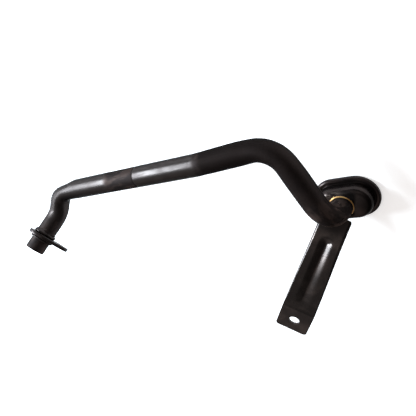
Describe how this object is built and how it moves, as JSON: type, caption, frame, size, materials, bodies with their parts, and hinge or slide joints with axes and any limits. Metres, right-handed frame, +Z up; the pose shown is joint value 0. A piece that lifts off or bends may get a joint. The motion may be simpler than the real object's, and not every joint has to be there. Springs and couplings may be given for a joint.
{
  "type": "oil pickup tube",
  "caption": "Bent steel oil pickup tube with a flanged spigot at one end, a stamped cup with a mesh strainer at the other, and a grooved support bracket.",
  "frame": {"origin": "centre of the bracket's bolt hole on its seating face", "axes": "+Z up along the bracket's bolt, away from the cup's mouth; +X along the tube's main run, from the spigot to the pickup"},
  "size_m": [0.329, 0.176, 0.0938],
  "materials": {
    "tube_steel": "blackened, satin gloss",
    "flange_steel": "blackened, satin",
    "cup_steel": "blackened, satin gloss",
    "screen_wire": "dull woven wire",
    "braze_brass": "bright brazed fillet",
    "bracket_steel": "blackened, satin gloss",
    "weld_steel": "blackened weld"
  },
  "bodies": {
    "root": {"suction_tube": "tube_steel", "mounting_flange": "flange_steel", "pickup_cup": "cup_steel", "cup_braze_ring": "braze_brass", "strainer_frame": "cup_steel", "strainer_screen": "screen_wire", "support_bracket": "bracket_steel", "bracket_weld": "weld_steel"}
  },
  "joints": []
}
